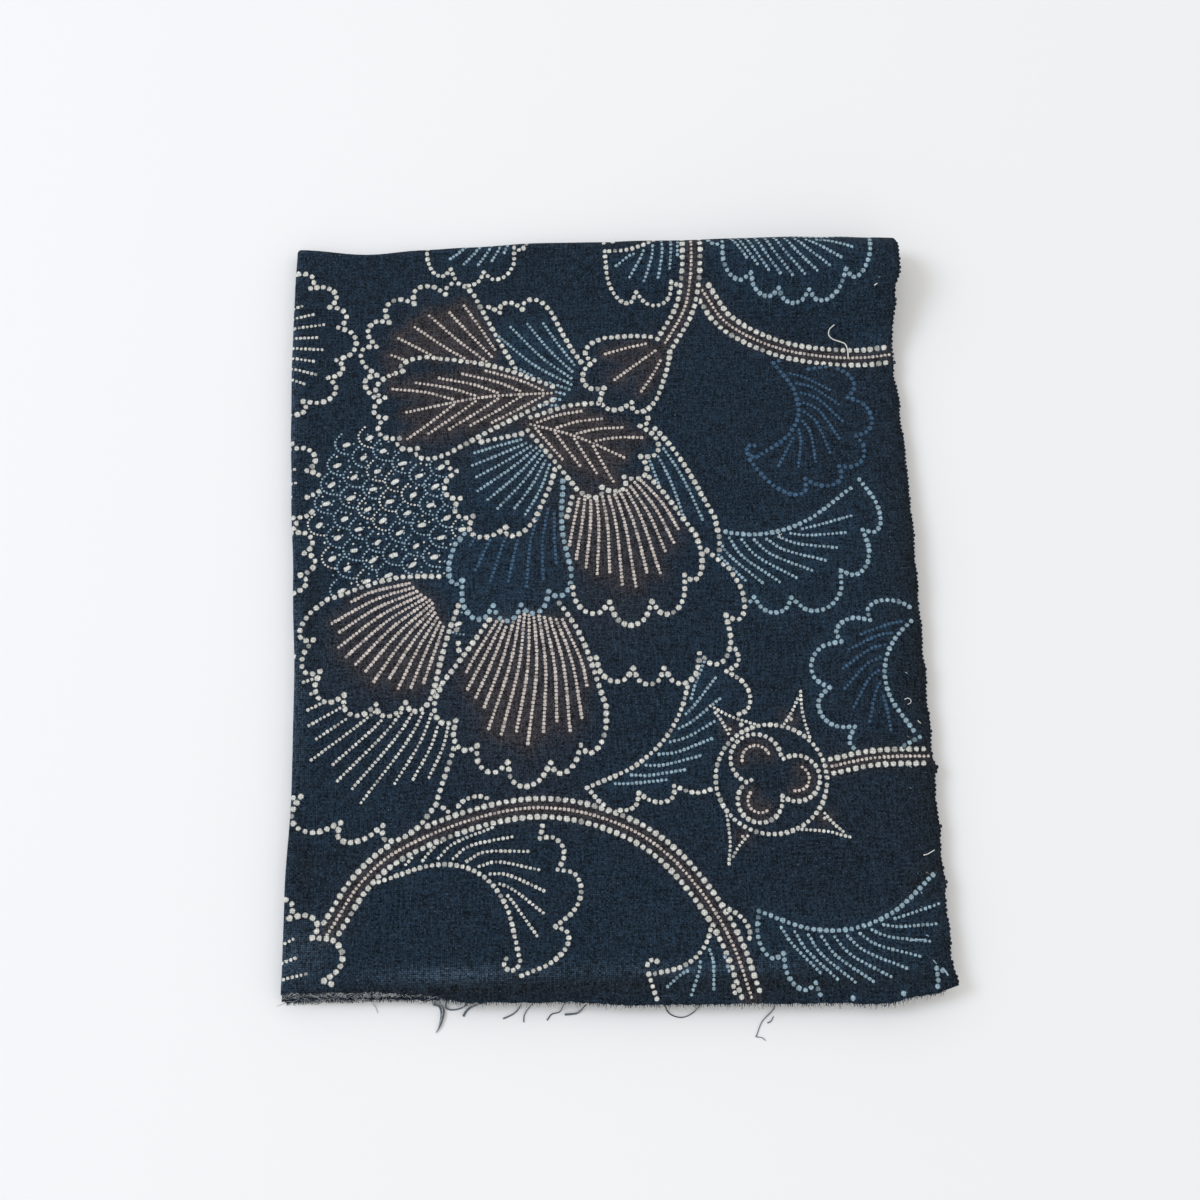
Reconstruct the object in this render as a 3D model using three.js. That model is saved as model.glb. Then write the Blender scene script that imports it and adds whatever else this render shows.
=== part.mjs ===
// Katazome cloth: one length of narrow indigo-dyed cotton, folded in half across its width, then in half
// again along its length, and laid flat. Millimetres, +Z up, and Z = 0 is the surface that it lies on.
// X runs across the folded cloth, from the side fold (-X) to the selvedges (+X).
// Y runs along it, from the raw cut ends (-Y) to the end fold (+Y).
// The four layers are named from above: top, second, third and bottom. The top and bottom layers are one half
// of the cloth's width and run round the outside of the end fold. The second and third are the other half,
// inside it.
import * as THREE from "three";

// Driving dimensions
const HALF_WIDTH = 86; // from the middle to the outermost line of the side fold, and to that of the selvedges
const HALF_LENGTH = 108; // from the middle to the outermost line of the end fold, and to that of the raw ends
const SHEET = 1.0; // the cloth with its nap
const AIR = 0.3; // the least air between two layers

// The end fold isn't pressed near the selvedges: it stands up there as an open loop that runs out across the
// cloth.
const LOOP_HEIGHT = 9.4; // how far it lifts the upper two layers at the selvedges
const LOOP_START = -30; // the X where it begins to lift them
const LOOP_FULL = 84; // the X where it is at its full height
const LOOP_REACH_START = 14; // how far along the cloth it reaches where it begins
const LOOP_REACH_FULL = 34; // and at its full height

// How far the long sides lie inside their outermost lines: the side fold and the top layer's selvedge.
const SIDES = [
  { y: -106, fold: 1.0, selvedge: 0.0 },
  { y: -96, fold: 1.4, selvedge: 1.1 },
  { y: -76, fold: 1.6, selvedge: 1.3 },
  { y: -50, fold: 2.7, selvedge: 1.6 },
  { y: -20, fold: 2.7, selvedge: 1.9 },
  { y: 8, fold: 1.8, selvedge: 2.2 },
  { y: 32, fold: 0.8, selvedge: 2.1 },
  { y: 52, fold: 0.2, selvedge: 2.9 },
  { y: 69, fold: 0.0, selvedge: 3.9 },
  { y: 84, fold: 0.2, selvedge: 2.9 },
  { y: 95, fold: 0.4, selvedge: 1.4 },
  { y: 106, fold: 0.8, selvedge: 1.8 },
];

// How far the short sides lie inside their outermost lines: the end fold, and each layer's raw cut end.
const ENDS = [
  { x: -85, fold: 0.3, top: 6.5, second: 5.0, third: 5.8, bottom: 4.6 },
  { x: -64, fold: 2.3, top: 6.3, second: 4.6, third: 5.6, bottom: 4.8 },
  { x: -50, fold: 1.3, top: 5.4, second: 4.0, third: 5.2, bottom: 4.9 },
  { x: -37, fold: 0.8, top: 3.0, second: 3.8, third: 4.9, bottom: 4.7 },
  { x: -17, fold: 0.0, top: 2.7, second: 3.5, third: 4.3, bottom: 4.0 },
  { x: 7, fold: 0.6, top: 1.3, second: 3.0, third: 3.9, bottom: 3.2 },
  { x: 29, fold: 1.5, top: 1.0, second: 2.4, third: 4.1, bottom: 2.8 },
  { x: 52, fold: 2.1, top: 0.6, second: 2.1, third: 4.4, bottom: 2.6 },
  { x: 67, fold: 2.9, top: 0.0, second: 2.2, third: 4.8, bottom: 3.0 },
  { x: 78, fold: 3.5, top: 1.8, second: 3.6, third: 5.4, bottom: 3.9 },
  { x: 86, fold: 3.8, top: 3.6, second: 5.2, third: 6.4, bottom: 5.3 },
];

// How far each layer's selvedge lies inside the top layer's.
const SELVEDGE_STEP = { top: 0, second: 1.2, third: 0.7, bottom: 1.6 };

// Soft swellings of the air between two layers, which lift all that lies above them.
// under: the layer that a swelling lifts; across, along: half of its size; turn: degrees from X to its across
// side.
const SWELLINGS = [
  { under: "top", x: -85, y: -36, across: 6, along: 42, turn: 0, height: 0.8 }, // roll of the side fold
  { under: "top", x: -18, y: -97, across: 48, along: 4, turn: 0, height: 0.5 }, // ridge above the raw end
  { under: "top", x: 78, y: -77, across: 13, along: 4, turn: -38, height: 0.8 }, // slanting crease
  { under: "top", x: -30, y: 40, across: 26, along: 44, turn: 12, height: 0.4 },
  { under: "second", x: 82, y: 11, across: 26, along: 20, turn: 0, height: 1.3 }, // slack of the selvedges
  { under: "second", x: 84, y: -104, across: 22, along: 14, turn: 0, height: 1.5 }, // lifted corner
  { under: "second", x: 5, y: 12, across: 48, along: 40, turn: 20, height: 0.7 },
  { under: "third", x: -46, y: 58, across: 30, along: 34, turn: -15, height: 0.5 },
  { under: "third", x: 30, y: -58, across: 36, along: 26, turn: 8, height: 0.5 },
];

// Steps of the faceted surface, for a quarter turn of each fold and from there to the edge
const SIDE_FOLD_STEPS = 3;
const ACROSS_STEPS = 17;
const END_FOLD_STEPS = 4;
const ALONG_STEPS = 20;
const ACROSS_GRADING = 1.1; // over 1, the steps are finer near the fold
const ALONG_GRADING = 1.4;
const EDGE_FADE = 5; // the higher it is, the closer to an edge the cloth starts to follow that edge's line

const { lerp, smoothstep, clamp, degToRad } = THREE.MathUtils;

// A table's column at a place between its rows, with no overshoot.
function tableAt(rows, key, place, column) {
  const after = rows.findIndex((row) => row[key] > place);
  if (after === 0) return rows[0][column];
  if (after < 0) return rows.at(-1)[column];
  const from = rows[after - 1];
  const to = rows[after];
  return lerp(from[column], to[column], smoothstep(place, from[key], to[key]));
}

const sideFoldX = (y) => -HALF_WIDTH + tableAt(SIDES, "y", y, "fold");
const selvedgeInset = (y, layer) => tableAt(SIDES, "y", y, "selvedge") + SELVEDGE_STEP[layer];
const endFoldY = (x) => HALF_LENGTH - tableAt(ENDS, "x", x, "fold");
const rawEndInset = (x, layer) => tableAt(ENDS, "x", x, layer);

// The lift of the open loop, which is level round the fold itself.
function loopLift(x, y) {
  const open = smoothstep(x, LOOP_START, LOOP_FULL);
  const reach = lerp(LOOP_REACH_START, LOOP_REACH_FULL, open);
  const fromFold = endFoldY(x) - (LOOP_HEIGHT * open) / 2 - y;
  return LOOP_HEIGHT * open * (1 - smoothstep(fromFold, 0, reach));
}

// The air under a layer: a swelling dies away like a bell curve in its own two directions.
function airUnder(layer, x, y) {
  let air = AIR + (layer === "second" ? loopLift(x, y) : 0);
  for (const row of SWELLINGS.filter((swelling) => swelling.under === layer)) {
    const turn = degToRad(row.turn);
    const dx = x - row.x;
    const dy = y - row.y;
    const u = (dx * Math.cos(turn) + dy * Math.sin(turn)) / row.across;
    const v = (dy * Math.cos(turn) - dx * Math.sin(turn)) / row.along;
    air += row.height * Math.exp(-u * u - v * v);
  }
  return air;
}

// The middle height of each pair of layers and half the distance inside it, from the surface up.
function pairsAt(x, y) {
  const bottom = SHEET / 2;
  const third = bottom + SHEET + airUnder("third", x, y);
  const second = third + SHEET + airUnder("second", x, y);
  const top = second + SHEET + airUnder("top", x, y);
  return {
    lower: { middle: (third + bottom) / 2, half: (third - bottom) / 2 },
    upper: { middle: (top + second) / 2, half: (top - second) / 2 },
  };
}

// A step number as a turn round the fold, -1 to 1, and the share of the way from the fold to the edge.
function station(step, foldSteps, runSteps, grading) {
  const past = Math.max(0, Math.abs(step) - foldSteps) / runSteps;
  return { turn: (clamp(step / foldSteps, -1, 1) * Math.PI) / 2, run: past ** grading };
}

// Where a point of the cloth lies once it is folded. The steps count from the two folds, across and along;
// out is its distance from the middle of the cloth's thickness, towards the outer face of the side fold.
function folded(acrossStep, alongStep, out) {
  const across = station(acrossStep, SIDE_FOLD_STEPS, ACROSS_STEPS, ACROSS_GRADING);
  const along = station(alongStep, END_FOLD_STEPS, ALONG_STEPS, ALONG_GRADING);
  const outer = acrossStep > 0;
  const upper = alongStep > 0;
  const layer = upper ? (outer ? "top" : "second") : outer ? "bottom" : "third";

  const roughX = lerp(-HALF_WIDTH, HALF_WIDTH, across.run);
  const foldPairs = pairsAt(roughX, endFoldY(roughX));
  const bendRadius = (foldPairs.upper.middle - foldPairs.lower.middle) / 2;
  const bendHalf = lerp(foldPairs.lower.half, foldPairs.upper.half, (Math.sin(along.turn) + 1) / 2);
  const bendY = endFoldY(roughX) - bendRadius - bendHalf - SHEET / 2;
  const y = lerp(bendY, -HALF_LENGTH, along.run) + rawEndInset(roughX, layer) * along.run ** EDGE_FADE;

  const pairs = pairsAt(roughX, y);
  const pair = upper ? pairs.upper : pairs.lower;
  const half = along.run > 0 ? pair.half : bendHalf;
  const sideX = sideFoldX(y) + half + SHEET / 2;
  const turnX = sideX - (half + out) * Math.cos(across.turn);
  const runX = lerp(sideX, HALF_WIDTH, across.run) - selvedgeInset(y, layer) * across.run ** EDGE_FADE;
  const x = across.run > 0 ? runX : turnX;
  const fromMiddle = (half + out) * Math.sin(across.turn);

  if (along.run > 0) return [x, y, pair.middle + (upper ? fromMiddle : -fromMiddle)];
  const bendZ = (foldPairs.upper.middle + foldPairs.lower.middle) / 2;
  const radius = bendRadius + fromMiddle;
  return [x, bendY + radius * Math.cos(along.turn), bendZ + radius * Math.sin(along.turn)];
}

// Turns the diagonal of each square that is split the other way once folded, so that both faces of all four
// layers are split alike, and a slope keeps its thickness and its air.
function alignDiagonals(geometry, acrossSteps) {
  const index = geometry.index;
  const [outerFace, innerFace] = geometry.groups.slice(4); // the last two sides of a box face +Z and -Z
  for (const { start, count } of [outerFace, innerFace]) {
    for (let i = start; i < start + count; i += 6) {
      const column = ((i - start) / 6) % acrossSteps;
      if (column >= acrossSteps / 2) continue;
      const [a, b, d] = [index.getX(i), index.getX(i + 1), index.getX(i + 2)];
      const c = index.getX(i + 4);
      [a, b, c, a, c, d].forEach((vertex, corner) => index.setX(i + corner, vertex));
    }
  }
}

// The flat cloth is a thin box whose vertices are counted in steps, and folding moves each to its place.
function foldedSheet() {
  const acrossSteps = 2 * (SIDE_FOLD_STEPS + ACROSS_STEPS);
  const alongSteps = 2 * (END_FOLD_STEPS + ALONG_STEPS);
  const geometry = new THREE.BoxGeometry(acrossSteps, alongSteps, SHEET, acrossSteps, alongSteps, 1);
  const position = geometry.getAttribute("position");
  for (let i = 0; i < position.count; i++) {
    const acrossStep = Math.round(position.getX(i));
    const alongStep = -Math.round(position.getY(i));
    position.setXYZ(i, ...folded(acrossStep, alongStep, position.getZ(i)));
  }
  alignDiagonals(geometry, acrossSteps);
  geometry.computeVertexNormals();
  return geometry;
}

const indigoCotton = new THREE.MeshStandardMaterial({ color: 0x1f2b3a, roughness: 0.95, metalness: 0 });

const cloth = new THREE.Mesh(foldedSheet(), indigoCotton);
cloth.name = "cloth";

const part = new THREE.Group();
part.add(cloth);

export default part;
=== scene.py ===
import math
import bpy
import numpy as np
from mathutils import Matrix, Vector, noise
from mathutils.geometry import delaunay_2d_cdt
from mathutils.kdtree import KDTree


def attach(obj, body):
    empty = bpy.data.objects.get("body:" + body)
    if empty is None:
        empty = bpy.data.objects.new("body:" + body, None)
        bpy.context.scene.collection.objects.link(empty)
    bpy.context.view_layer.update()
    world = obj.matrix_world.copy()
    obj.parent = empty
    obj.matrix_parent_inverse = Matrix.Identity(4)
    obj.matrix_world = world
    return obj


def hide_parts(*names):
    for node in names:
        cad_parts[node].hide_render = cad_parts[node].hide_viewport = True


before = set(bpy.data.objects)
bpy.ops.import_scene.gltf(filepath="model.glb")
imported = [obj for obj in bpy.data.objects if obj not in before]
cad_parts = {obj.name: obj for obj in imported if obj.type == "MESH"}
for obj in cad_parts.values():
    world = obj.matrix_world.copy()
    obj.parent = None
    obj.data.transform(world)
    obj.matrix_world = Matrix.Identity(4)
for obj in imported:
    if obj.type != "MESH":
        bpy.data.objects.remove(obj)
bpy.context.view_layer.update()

# The setting: a plain white table top, one wide soft lamp from the left and a little behind, a weak even
# sky, and a camera that looks steeply down on the cloth from its raw ends.
MM = 0.001


def srgb(red, green, blue):
    """A colour given as 0 to 255 in sRGB, as linear numbers."""
    def linear(value):
        value /= 255
        return value / 12.92 if value <= 0.04045 else ((value + 0.055) / 1.055) ** 2.4
    return (linear(red), linear(green), linear(blue), 1.0)


def material(name, roughness):
    """A new material: its node tree and its shader."""
    made = bpy.data.materials.new(name)
    made.use_nodes = True
    shader = made.node_tree.nodes["Principled BSDF"]
    shader.inputs["Roughness"].default_value = roughness
    return made, made.node_tree, shader


CAMERA_PLACE = (-5.05 * MM, -141.66 * MM, 467.9 * MM)
CAMERA_AIM = (-1.3 * MM, 1.35 * MM, 0.0)
CAMERA_LENS = 54.15
LAMP_PLACE = (-1.38, 0.28, 1.5)
LAMP_SIZE = 0.97
LAMP_POWER = 15
SKY_STRENGTH = 0.86
FLOOR_SIZE = 6.0

camera_data = bpy.data.cameras.new("camera")
camera_data.lens = CAMERA_LENS
camera = bpy.data.objects.new("camera", camera_data)
bpy.context.scene.collection.objects.link(camera)
camera.location = CAMERA_PLACE
aim = Vector(CAMERA_AIM) - Vector(CAMERA_PLACE)
camera.rotation_euler = aim.to_track_quat("-Z", "Y").to_euler()
bpy.context.scene.camera = camera

lamp_data = bpy.data.lights.new("window_lamp", "AREA")
lamp_data.shape = "DISK"
lamp_data.size = LAMP_SIZE
lamp_data.energy = LAMP_POWER
lamp_data.color = srgb(232, 241, 255)[:3]
lamp = bpy.data.objects.new("window_lamp", lamp_data)
bpy.context.scene.collection.objects.link(lamp)
lamp.location = LAMP_PLACE
lamp.rotation_euler = (-Vector(LAMP_PLACE)).to_track_quat("-Z", "Y").to_euler()

sky = bpy.data.worlds.new("sky")
sky.use_nodes = True
sky.node_tree.nodes["Background"].inputs["Color"].default_value = srgb(255, 252, 248)
sky.node_tree.nodes["Background"].inputs["Strength"].default_value = SKY_STRENGTH
bpy.context.scene.world = sky
bpy.context.scene.view_settings.view_transform = "Standard"

bpy.ops.mesh.primitive_plane_add(size=FLOOR_SIZE)
floor = bpy.context.object
floor.name = "table_top"
floor_material, _, floor_shader = material("white_table", 0.7)
floor_shader.inputs["Base Color"].default_value = srgb(236, 238, 240)
floor.data.materials.append(floor_material)

# How the cloth lies: one length of narrow cotton, folded in half across its width and then along its
# length. Sizes are in millimetres. A point of the flat cloth has two coordinates, across and along, which
# are its X and Y on the top layer. Past the side fold at -X the cloth turns under to the second layer, and
# past the end fold at +Y both layers turn under to the third and the bottom layer.
HALF_WIDTH = 86.0
HALF_LENGTH = 108.0
SHEET = 1.0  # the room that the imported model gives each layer
AIR = 0.3
THICKNESS = 0.6
LOOP_HEIGHT = 9.4
LOOP_START = -30.0
LOOP_FULL = 84.0
LOOP_REACH_START = 14.0
LOOP_REACH_FULL = 34.0

# Along the cloth (Y), and how far the side fold and the selvedge lie inside their outermost lines.
SIDES = np.array([
    (-106, 1.0, 0.0), (-96, 1.4, 1.1), (-76, 1.6, 1.3), (-50, 2.7, 1.6), (-20, 2.7, 1.9), (8, 1.8, 2.2),
    (32, 0.8, 2.1), (52, 0.2, 2.9), (69, 0.0, 3.9), (84, 0.2, 2.9), (95, 0.4, 1.4), (106, 0.8, 1.8)])
# Across the cloth (X), and how far the end fold and the raw ends of the top, second, third and bottom
# layers lie inside their outermost lines.
ENDS = np.array([
    (-85, 0.3, 6.5, 5.0, 5.8, 4.6), (-64, 2.3, 6.3, 4.6, 5.6, 4.8), (-50, 1.3, 5.4, 4.0, 5.2, 4.9),
    (-37, 0.8, 3.0, 3.8, 4.9, 4.7), (-17, 0.0, 2.7, 3.5, 4.3, 4.0), (7, 0.6, 1.3, 3.0, 3.9, 3.2),
    (29, 1.5, 1.0, 2.4, 4.1, 2.8), (52, 2.1, 0.6, 2.1, 4.4, 2.6), (67, 2.9, 0.0, 2.2, 4.8, 3.0),
    (78, 3.5, 1.8, 3.6, 5.4, 3.9), (86, 3.8, 3.6, 5.2, 6.4, 5.3)])
SELVEDGE_STEP = {"top": 0.0, "second": 1.2, "third": 0.7, "bottom": 1.6}
# Soft swellings of the air under a layer: place, half of the size both ways, turn in degrees, height.
SWELLINGS = {
    "top": [(-85, -36, 6, 42, 0, 0.8), (-18, -97, 48, 4, 0, 0.5), (78, -77, 13, 4, -38, 0.8),
            (-30, 40, 26, 44, 12, 0.4)],
    "second": [(82, 11, 26, 20, 0, 1.3), (84, -104, 22, 14, 0, 1.5), (5, 12, 48, 40, 20, 0.7)],
    "third": [(-46, 58, 30, 34, -15, 0.5), (30, -58, 36, 26, 8, 0.5)],
}


def smoothstep(value, low, high):
    share = np.clip((value - low) / (high - low), 0, 1)
    return share * share * (3 - 2 * share)


def table_at(rows, column, place):
    """A table's column at places between its rows, with no overshoot."""
    after = np.clip(np.searchsorted(rows[:, 0], place, side="right"), 1, len(rows) - 1)
    low = rows[after - 1]
    high = rows[after]
    share = smoothstep(place, low[..., 0], high[..., 0])
    return low[..., column] + (high[..., column] - low[..., column]) * share


def air_under(layer, x, y):
    """The air between a layer and the one below it."""
    air = AIR + 0 * x
    if layer == "second":
        opening = smoothstep(x, LOOP_START, LOOP_FULL)
        reach = LOOP_REACH_START + (LOOP_REACH_FULL - LOOP_REACH_START) * opening
        from_fold = HALF_LENGTH - table_at(ENDS, 1, x) - LOOP_HEIGHT * opening / 2 - y
        air = air + LOOP_HEIGHT * opening * (1 - smoothstep(from_fold, 0, reach))
    for at_x, at_y, across, along, turn, height in SWELLINGS[layer]:
        cos = math.cos(math.radians(turn))
        sin = math.sin(math.radians(turn))
        u = ((x - at_x) * cos + (y - at_y) * sin) / across
        v = ((y - at_y) * cos - (x - at_x) * sin) / along
        air = air + height * np.exp(-u * u - v * v)
    return air


def pairs_at(x, y):
    """The middle height of the lower and the upper pair of layers, each with half the gap inside it."""
    bottom = SHEET / 2
    third = bottom + SHEET + air_under("third", x, y)
    second = third + SHEET + air_under("second", x, y)
    top = second + SHEET + air_under("top", x, y)
    return (third + bottom) / 2, (third - bottom) / 2, (top + second) / 2, (top - second) / 2


def bend_at(x):
    """The end fold: where it starts to turn, and its radius half-way between its inside and outside."""
    end = HALF_LENGTH - table_at(ENDS, 1, x)
    lower, low_half, upper, high_half = pairs_at(x, end)
    start = end - (upper - lower) / 2 - (low_half + high_half) / 2 - SHEET / 2
    lower, low_half, upper, high_half = pairs_at(x, start)
    return start, (upper - lower) / 2


def trace_folds(across, along):
    """Follows flat cloth round both folds: rough X and Y, and the turn of each fold there, in radians."""
    x = np.maximum(across, -2 * HALF_WIDTH - 1 - across)
    for _ in range(4):
        start, radius = bend_at(x)
        arc = math.pi * radius
        end_turn = math.pi * (0.5 - np.clip((along - start) / arc, 0, 1))
        y = np.where(along < start, along, np.where(along > start + arc, 2 * start + arc - along, start))
        _, low_half, _, high_half = pairs_at(-HALF_WIDTH + 0 * y, y)
        half = low_half + (high_half - low_half) * (np.sin(end_turn) + 1) / 2
        crease = -HALF_WIDTH + table_at(SIDES, 1, y) + half + SHEET / 2
        side_arc = math.pi * half
        side_turn = math.pi * (0.5 - np.clip((crease - across) / side_arc, 0, 1))
        under = 2 * crease - side_arc - across
        x = np.where(across > crease, across, np.where(across < crease - side_arc, under, crease))
    return x, y, side_turn, end_turn


def lying(across, along, out=0.0):
    """Where points of the flat cloth lie once it is folded. out is the distance from the middle of the
    cloth's thickness, towards its patterned face."""
    across = np.asarray(across, dtype=float)
    along = np.asarray(along, dtype=float)
    x, y, side_turn, end_turn = trace_folds(across, along)
    start, radius = bend_at(x)
    lower, low_half, upper, high_half = pairs_at(x, y)
    half = low_half + (high_half - low_half) * (np.sin(end_turn) + 1) / 2
    from_middle = (half + out) * np.sin(side_turn)
    x = x - (half + out) * np.cos(side_turn)
    above = upper + from_middle
    below = lower - from_middle
    turning_z = (upper + lower) / 2 + (radius + from_middle) * np.sin(end_turn)
    turning = np.abs(end_turn) < math.pi / 2 - 1e-9
    z = np.where(turning, turning_z, np.where(end_turn > 0, above, below))
    y = np.where(turning, start + (radius + from_middle) * np.cos(end_turn), y)
    return x, y, z - (SHEET - THICKNESS) / 2


# Small bumps of the selvedge: place along the flat cloth, how far it stands out, and half of its length.
SELVEDGE_BUMPS = [
    (91.5, 0.8, 2.2), (83.5, 0.5, 0.7), (67.5, 0.7, 0.9), (-47.8, 1.1, 1.3), (-78, 0.5, 1.0),
    (-21, 0.5, 0.8), (30, -0.4, 3.0), (118, 0.5, 1.0), (-64, 0.4, 0.8)]


def selvedge_across(along, inner):
    """How far across the flat cloth its selvedge is, for the outer half of its width or the inner half."""
    edge_x = np.full_like(along, HALF_WIDTH - 2.5)
    start, radius = bend_at(edge_x)
    arc = math.pi * radius
    lower_share = smoothstep(along, start, start + arc)
    y = np.where(along < start, along, np.where(along > start + arc, 2 * start + arc - along, start))
    steps = ("second", "third") if inner else ("top", "bottom")
    step = SELVEDGE_STEP[steps[0]] + (SELVEDGE_STEP[steps[1]] - SELVEDGE_STEP[steps[0]]) * lower_share
    x = HALF_WIDTH - table_at(SIDES, 2, y) - step
    x = x + 0.16 * np.sin(along * 2.1) * np.sin(along * 0.83 + 1) + 0.2 * np.sin(along * 0.47)
    for at, size, width in SELVEDGE_BUMPS:
        x = x + size * np.exp(-((along - at) / width) ** 2)
    if not inner:
        return x
    _, low_half, _, high_half = pairs_at(-HALF_WIDTH + 0 * y, y)
    half = high_half + (low_half - high_half) * lower_share
    crease = -HALF_WIDTH + table_at(SIDES, 1, y) + half + SHEET / 2
    return 2 * crease - math.pi * half - x


def raw_end_along(across, lower):
    """How far along the flat cloth its raw end is, for the upper pair of layers or the lower pair."""
    x = np.maximum(across, -2 * HALF_WIDTH - 1 - across)
    outer_share = smoothstep(across, -HALF_WIDTH - 8, -HALF_WIDTH + 4)
    columns = (4, 5) if lower else (3, 2)
    inner_inset = table_at(ENDS, columns[0], x)
    outer_inset = table_at(ENDS, columns[1], x)
    y = -HALF_LENGTH + inner_inset + (outer_inset - inner_inset) * outer_share
    if not lower:
        return y
    start, radius = bend_at(x)
    return 2 * start + math.pi * radius - y


# The pattern: a peony scroll of undyed dots. Rice paste pushed through a paper stencil kept the indigo out
# of each dot. Outlines are rows of large dots, and veins and the middles of stems are rows of small ones.
# Petals, leaves, stems and the bud are each drawn by a rule. Motifs that lie in front come first.
rng = np.random.default_rng(7)
DOT_COLOURS = {
    "cream": srgb(212, 213, 207), "pink": srgb(206, 197, 191), "pale": srgb(150, 176, 190),
    "blue": srgb(82, 118, 152), "white": srgb(216, 218, 214), "dim": srgb(120, 118, 122)}
STEM = (0.7, 1.93)  # radius and pitch
LARGE = (0.69, 1.92)
LEAF = (0.59, 1.6)
VEIN = (0.44, 1.02)
SMALL = (0.41, 1.14)
FINE = (0.28, 0.96)

dots = []  # place, direction, half-length and half-width, colour, and the four corners of the dot's cell
corners = []  # corners of the cells
COARSE = 3  # the squares of a coarse grid
CROWDING = 0.8  # how near to each other two dots may be, as a share of their radii together
FAINT_STRENGTH = 0.55
taken = {}  # dots already made, by their square of the coarse grid
# Colour was brushed over some rows and the ground beside them: amounts of brown and of light blue.
BRUSHED = {("pink", SMALL[0]): (1.0, 0.0), ("pink", VEIN[0]): (0.6, 0.0), ("pale", LARGE[0]): (0.0, 0.5),
           ("pale", SMALL[0]): (0.0, 0.7), ("pale", LEAF[0]): (0.0, 0.6), ("pale", FINE[0]): (0.0, 0.3)}
brushed = []  # place, and amounts of brown and light blue
covered = []  # outlines of the motifs made so far, with their lowest and highest corners


def smooth_path(points):
    """A smooth line through points, as many close places."""
    points = np.array(points)
    if len(points) < 3:
        share = np.linspace(0, 1, 24)[:, None]
        return points[0] + (points[-1] - points[0]) * share
    ends = np.vstack([2 * points[0] - points[1], points, 2 * points[-1] - points[-2]])
    path = []
    for i in range(1, len(ends) - 2):
        before, start, stop, after = ends[i - 1:i + 3]
        for t in np.linspace(0, 1, 12, endpoint=False):
            path.append(0.5 * (
                2 * start + (stop - before) * t + (2 * before - 5 * start + 4 * stop - after) * t**2
                + (3 * start - 3 * stop + after - before) * t**3))
    return np.array(path + [points[-1]])


def take(place, room):
    """Notes a dot's place as taken."""
    taken.setdefault((int(place[0] // COARSE), int(place[1] // COARSE)), []).append((place, room))


def is_free(place, room):
    """Whether a dot with this room around it would crowd none of those made so far."""
    column = int(place[0] // COARSE)
    line = int(place[1] // COARSE)
    for i in (column - 1, column, column + 1):
        for j in (line - 1, line, line + 1):
            for other, other_room in taken.get((i, j), ()):
                if np.hypot(*(place - other)) < CROWDING * (room + other_room):
                    return False
    return True


def cover(outline):
    """Keeps later rows out of a motif, because it lies in front of them."""
    closed = np.array([*outline, outline[0]])
    covered.append((closed, closed.min(axis=0), closed.max(axis=0)))


def is_covered(place):
    """Whether a place is inside a motif made so far."""
    for outline, low, high in covered:
        if np.all(place > low) and np.all(place < high):
            angles = np.unwrap(np.arctan2(outline[:, 1] - place[1], outline[:, 0] - place[0]))
            if abs(angles[-1] - angles[0]) > 3:
                return True
    return False


def row(pieces, size, colour, faint=0.05):
    """Dots along smooth pieces that meet at sharp turns. faint is the share of them that hardly show."""
    radius, pitch = size
    for number, points in enumerate(pieces):
        path = smooth_path(points)
        lengths = np.concatenate([[0], np.cumsum(np.hypot(*np.diff(path, axis=0).T))])
        count = max(1, round(lengths[-1] / pitch))
        gap = lengths[-1] / count
        first = 0 if number == 0 else 1
        add_dots(path, lengths, gap, first, count, radius, colour, faint)


def add_dots(path, lengths, gap, first, count, radius, colour, faint):
    """Dots from number first to number count along a path, in cells that share their ends."""
    def place_at(distance):
        return np.array([np.interp(distance, lengths, path[:, axis]) for axis in (0, 1)])

    def at(distance):
        step = place_at(min(distance + 0.3, lengths[-1])) - place_at(max(distance - 0.3, 0))
        return place_at(distance), step / max(np.hypot(*step), 1e-9)

    half_width = 1.3 * radius
    last_pair = None
    last_number = None
    for number in range(first, count + 1):
        size = radius * rng.uniform(0.88, 1.14)
        place, direction = at(number * gap)
        shade = rng.uniform(0.86, 1.08)
        weak = rng.random() < faint
        if not is_free(place, radius) or is_covered(place):
            last_pair = None
            continue
        take(place, radius)
        if last_pair is None or last_number != number - 1:
            last_pair = cell_end(at, (number - 0.5) * gap, half_width, place, direction, -0.5 * gap)
        next_pair = cell_end(at, (number + 0.5) * gap, half_width, place, direction, 0.5 * gap)
        if (colour, radius) in BRUSHED:
            brushed.append((place, BRUSHED[colour, radius]))
        red, green, blue, _ = DOT_COLOURS[colour]
        strength = FAINT_STRENGTH if weak or colour == "blue" else 1.0
        paint = (red * shade, green * shade, blue * shade, strength)
        dots.append((place, direction, size, size, paint, (*last_pair, *reversed(next_pair))))
        last_pair = next_pair
        last_number = number


def cell_end(at, distance, half_width, place, direction, past):
    """The two corners where one dot's cell ends. Off the end of the path, the cell goes on straight."""
    middle, ahead = at(distance)
    if np.hypot(*(middle - place)) < 0.8 * abs(past):
        middle = place + direction * past
        ahead = direction
    side = np.array([-ahead[1], ahead[0]]) * half_width
    corners.append(middle + side)
    corners.append(middle - side)
    return len(corners) - 2, len(corners) - 1


SEED_ROOM = 0.5


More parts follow.
